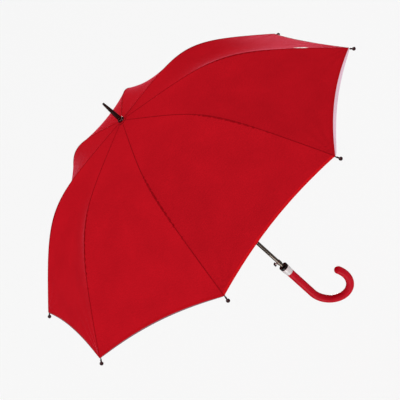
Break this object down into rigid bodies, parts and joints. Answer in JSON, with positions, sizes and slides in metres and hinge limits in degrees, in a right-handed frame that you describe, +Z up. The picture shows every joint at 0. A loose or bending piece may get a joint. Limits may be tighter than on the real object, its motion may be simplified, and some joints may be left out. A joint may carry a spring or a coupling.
{
  "type": "stick umbrella",
  "caption": "Full-length automatic stick umbrella with jointed ribs, a sprung runner, a scalloped domed canopy and a crook handle, shown open.",
  "frame": {"origin": "on the shaft axis at the middle of the straight part of the grip, where a hand holds it", "axes": "+Z up the shaft to the ferrule; +X from the shaft to the side on which the crook opens; the push button is on the -X side"},
  "size_m": [1.0064, 1.0064, 0.8622],
  "materials": {
    "canopy_cloth": "tightly woven red pongee with a faint sheen",
    "rib_steel": "dull plated steel",
    "fibreglass": "smooth dark fibreglass rod",
    "tip_plastic": "dark plum moulded plastic, semi-gloss",
    "black_plastic": "black moulded plastic",
    "shaft_metal": "gunmetal-brown coated tube",
    "ferrule_dark": "very dark red-brown, polished",
    "grip_leather": "red leatherette with a fine grain, stitched on the inside of the bend",
    "chrome": "bright plated metal",
    "button_dark": "dark moulded plastic cap on a plated stem"
  },
  "bodies": {
    "shaft": {"shaft_tube": "shaft_metal", "ferrule": "ferrule_dark", "ferrule_cap": "ferrule_dark", "top_rosette": "canopy_cloth", "top_notch": "black_plastic", "notch_wire": "rib_steel", "opening_spring": "rib_steel", "spring_stop": "black_plastic", "handle_grip": "grip_leather", "handle_collar": "chrome", "tip_cup": "black_plastic", "catch_bracket": "chrome"},
    "inner_rib_1": {"rib_inner_1": "rib_steel", "canopy_panel_1": "canopy_cloth"},
    "outer_rib_1": {"rib_outer_1": "fibreglass", "rib_tip_1": "tip_plastic"},
    "strut_1": {"stretcher_1": "rib_steel"},
    "inner_rib_2": {"rib_inner_2": "rib_steel", "canopy_panel_2": "canopy_cloth"},
    "outer_rib_2": {"rib_outer_2": "fibreglass", "rib_tip_2": "tip_plastic"},
    "strut_2": {"stretcher_2": "rib_steel"},
    "inner_rib_3": {"rib_inner_3": "rib_steel", "canopy_panel_3": "canopy_cloth"},
    "outer_rib_3": {"rib_outer_3": "fibreglass", "rib_tip_3": "tip_plastic"},
    "strut_3": {"stretcher_3": "rib_steel"},
    "inner_rib_4": {"rib_inner_4": "rib_steel", "canopy_panel_4": "canopy_cloth"},
    "outer_rib_4": {"rib_outer_4": "fibreglass", "rib_tip_4": "tip_plastic"},
    "strut_4": {"stretcher_4": "rib_steel"},
    "inner_rib_5": {"rib_inner_5": "rib_steel", "canopy_panel_5": "canopy_cloth"},
    "outer_rib_5": {"rib_outer_5": "fibreglass", "rib_tip_5": "tip_plastic"},
    "strut_5": {"stretcher_5": "rib_steel"},
    "inner_rib_6": {"rib_inner_6": "rib_steel", "canopy_panel_6": "canopy_cloth"},
    "outer_rib_6": {"rib_outer_6": "fibreglass", "rib_tip_6": "tip_plastic"},
    "strut_6": {"stretcher_6": "rib_steel"},
    "inner_rib_7": {"rib_inner_7": "rib_steel", "canopy_panel_7": "canopy_cloth"},
    "outer_rib_7": {"rib_outer_7": "fibreglass", "rib_tip_7": "tip_plastic"},
    "strut_7": {"stretcher_7": "rib_steel"},
    "inner_rib_8": {"rib_inner_8": "rib_steel", "canopy_panel_8": "canopy_cloth"},
    "outer_rib_8": {"rib_outer_8": "fibreglass", "rib_tip_8": "tip_plastic"},
    "strut_8": {"stretcher_8": "rib_steel"},
    "runner_sleeve": {"runner": "black_plastic", "runner_wire": "rib_steel", "spring_plunger": "rib_steel"},
    "button": {"push_button": "button_dark"}
  },
  "joints": [
    {"name": "rib_fold_1", "type": "hinge", "parent": "shaft", "child": "inner_rib_1", "pos_m": [0.00811, 0.00256, 0.682], "axis": [-0.3007, 0.9537, 0], "range_deg": [0, 77.25], "stiffness_Nm_per_rad": 0.15, "springref_deg": -171.89, "deforming": ["canopy_panel_1"]},
    {"name": "rib_fold_2", "type": "hinge", "parent": "shaft", "child": "inner_rib_2", "pos_m": [0.00392, 0.00754, 0.682], "axis": [-0.887, 0.4617, 0], "range_deg": [0, 77.25], "stiffness_Nm_per_rad": 0.15, "springref_deg": -171.89, "deforming": ["canopy_panel_2"]},
    {"name": "rib_fold_3", "type": "hinge", "parent": "shaft", "child": "inner_rib_3", "pos_m": [-0.00256, 0.00811, 0.682], "axis": [-0.9537, -0.3007, 0], "range_deg": [0, 77.25], "stiffness_Nm_per_rad": 0.15, "springref_deg": -171.89, "deforming": ["canopy_panel_3"]},
    {"name": "rib_fold_4", "type": "hinge", "parent": "shaft", "child": "inner_rib_4", "pos_m": [-0.00754, 0.00392, 0.682], "axis": [-0.4617, -0.887, 0], "range_deg": [0, 77.25], "stiffness_Nm_per_rad": 0.15, "springref_deg": -171.89, "deforming": ["canopy_panel_4"]},
    {"name": "rib_fold_5", "type": "hinge", "parent": "shaft", "child": "inner_rib_5", "pos_m": [-0.00811, -0.00256, 0.682], "axis": [0.3007, -0.9537, 0], "range_deg": [0, 77.25], "stiffness_Nm_per_rad": 0.15, "springref_deg": -171.89, "deforming": ["canopy_panel_5"]},
    {"name": "rib_fold_6", "type": "hinge", "parent": "shaft", "child": "inner_rib_6", "pos_m": [-0.00392, -0.00754, 0.682], "axis": [0.887, -0.4617, 0], "range_deg": [0, 77.25], "stiffness_Nm_per_rad": 0.15, "springref_deg": -171.89, "deforming": ["canopy_panel_6"]},
    {"name": "rib_fold_7", "type": "hinge", "parent": "shaft", "child": "inner_rib_7", "pos_m": [0.00256, -0.00811, 0.682], "axis": [0.9537, 0.3007, 0], "range_deg": [0, 77.25], "stiffness_Nm_per_rad": 0.15, "springref_deg": -171.89, "deforming": ["canopy_panel_7"]},
    {"name": "rib_fold_8", "type": "hinge", "parent": "shaft", "child": "inner_rib_8", "pos_m": [0.00754, -0.00392, 0.682], "axis": [0.4617, 0.887, 0], "range_deg": [0, 77.25], "stiffness_Nm_per_rad": 0.15, "springref_deg": -171.89, "deforming": ["canopy_panel_8"]},
    {"name": "rib_flex_1", "type": "hinge", "parent": "inner_rib_1", "child": "outer_rib_1", "pos_m": [0.24987, 0.07878, 0.63707], "axis": [-0.3007, 0.9537, 0], "range_deg": [-27, 0]},
    {"name": "stretcher_swing_1", "type": "hinge", "parent": "inner_rib_1", "child": "strut_1", "pos_m": [0.24987, 0.07878, 0.63707], "axis": [-0.3007, 0.9537, 0], "range_deg": [-154.5, 0]},
    {"name": "rib_flex_2", "type": "hinge", "parent": "inner_rib_2", "child": "outer_rib_2", "pos_m": [0.12098, 0.2324, 0.63707], "axis": [-0.887, 0.4617, 0], "range_deg": [-27, 0]},
    {"name": "stretcher_swing_2", "type": "hinge", "parent": "inner_rib_2", "child": "strut_2", "pos_m": [0.12098, 0.2324, 0.63707], "axis": [-0.887, 0.4617, 0], "range_deg": [-154.5, 0]},
    {"name": "rib_flex_3", "type": "hinge", "parent": "inner_rib_3", "child": "outer_rib_3", "pos_m": [-0.07878, 0.24987, 0.63707], "axis": [-0.9537, -0.3007, 0], "range_deg": [-27, 0]},
    {"name": "stretcher_swing_3", "type": "hinge", "parent": "inner_rib_3", "child": "strut_3", "pos_m": [-0.07878, 0.24987, 0.63707], "axis": [-0.9537, -0.3007, 0], "range_deg": [-154.5, 0]},
    {"name": "rib_flex_4", "type": "hinge", "parent": "inner_rib_4", "child": "outer_rib_4", "pos_m": [-0.2324, 0.12098, 0.63707], "axis": [-0.4617, -0.887, 0], "range_deg": [-27, 0]},
    {"name": "stretcher_swing_4", "type": "hinge", "parent": "inner_rib_4", "child": "strut_4", "pos_m": [-0.2324, 0.12098, 0.63707], "axis": [-0.4617, -0.887, 0], "range_deg": [-154.5, 0]},
    {"name": "rib_flex_5", "type": "hinge", "parent": "inner_rib_5", "child": "outer_rib_5", "pos_m": [-0.24987, -0.07878, 0.63707], "axis": [0.3007, -0.9537, 0], "range_deg": [-27, 0]},
    {"name": "stretcher_swing_5", "type": "hinge", "parent": "inner_rib_5", "child": "strut_5", "pos_m": [-0.24987, -0.07878, 0.63707], "axis": [0.3007, -0.9537, 0], "range_deg": [-154.5, 0]},
    {"name": "rib_flex_6", "type": "hinge", "parent": "inner_rib_6", "child": "outer_rib_6", "pos_m": [-0.12098, -0.2324, 0.63707], "axis": [0.887, -0.4617, 0], "range_deg": [-27, 0]},
    {"name": "stretcher_swing_6", "type": "hinge", "parent": "inner_rib_6", "child": "strut_6", "pos_m": [-0.12098, -0.2324, 0.63707], "axis": [0.887, -0.4617, 0], "range_deg": [-154.5, 0]},
    {"name": "rib_flex_7", "type": "hinge", "parent": "inner_rib_7", "child": "outer_rib_7", "pos_m": [0.07878, -0.24987, 0.63707], "axis": [0.9537, 0.3007, 0], "range_deg": [-27, 0]},
    {"name": "stretcher_swing_7", "type": "hinge", "parent": "inner_rib_7", "child": "strut_7", "pos_m": [0.07878, -0.24987, 0.63707], "axis": [0.9537, 0.3007, 0], "range_deg": [-154.5, 0]},
    {"name": "rib_flex_8", "type": "hinge", "parent": "inner_rib_8", "child": "outer_rib_8", "pos_m": [0.2324, -0.12098, 0.63707], "axis": [0.4617, 0.887, 0], "range_deg": [-27, 0]},
    {"name": "stretcher_swing_8", "type": "hinge", "parent": "inner_rib_8", "child": "strut_8", "pos_m": [0.2324, -0.12098, 0.63707], "axis": [0.4617, 0.887, 0], "range_deg": [-154.5, 0]},
    {"name": "runner_slide", "type": "hinge", "parent": "strut_1", "child": "runner_sleeve", "pos_m": [0.00811, 0.00256, 0.59213], "axis": [-0.3007, 0.9537, 0], "range_deg": [0, 77.25], "deforming": ["opening_spring"]},
    {"name": "button_press", "type": "slide", "parent": "shaft", "child": "button", "axis": [1, 0, 0], "range_m": [0, 0.0018], "stiffness_N_per_m": 800, "springref_m": -0.001}
  ],
  "couplings": [
    {"joint": "rib_fold_2", "follows": "rib_fold_1", "ratio": 1},
    {"joint": "rib_fold_3", "follows": "rib_fold_1", "ratio": 1},
    {"joint": "rib_fold_4", "follows": "rib_fold_1", "ratio": 1},
    {"joint": "rib_fold_5", "follows": "rib_fold_1", "ratio": 1},
    {"joint": "rib_fold_6", "follows": "rib_fold_1", "ratio": 1},
    {"joint": "rib_fold_7", "follows": "rib_fold_1", "ratio": 1},
    {"joint": "rib_fold_8", "follows": "rib_fold_1", "ratio": 1},
    {"joint": "rib_flex_1", "follows": "rib_fold_1", "ratio": -0.349},
    {"joint": "stretcher_swing_1", "follows": "rib_fold_1", "ratio": -2},
    {"joint": "rib_flex_2", "follows": "rib_fold_1", "ratio": -0.349},
    {"joint": "stretcher_swing_2", "follows": "rib_fold_1", "ratio": -2},
    {"joint": "rib_flex_3", "follows": "rib_fold_1", "ratio": -0.349},
    {"joint": "stretcher_swing_3", "follows": "rib_fold_1", "ratio": -2},
    {"joint": "rib_flex_4", "follows": "rib_fold_1", "ratio": -0.349},
    {"joint": "stretcher_swing_4", "follows": "rib_fold_1", "ratio": -2},
    {"joint": "rib_flex_5", "follows": "rib_fold_1", "ratio": -0.349},
    {"joint": "stretcher_swing_5", "follows": "rib_fold_1", "ratio": -2},
    {"joint": "rib_flex_6", "follows": "rib_fold_1", "ratio": -0.349},
    {"joint": "stretcher_swing_6", "follows": "rib_fold_1", "ratio": -2},
    {"joint": "rib_flex_7", "follows": "rib_fold_1", "ratio": -0.349},
    {"joint": "stretcher_swing_7", "follows": "rib_fold_1", "ratio": -2},
    {"joint": "rib_flex_8", "follows": "rib_fold_1", "ratio": -0.349},
    {"joint": "stretcher_swing_8", "follows": "rib_fold_1", "ratio": -2},
    {"joint": "runner_slide", "follows": "rib_fold_1", "ratio": 1}
  ]
}
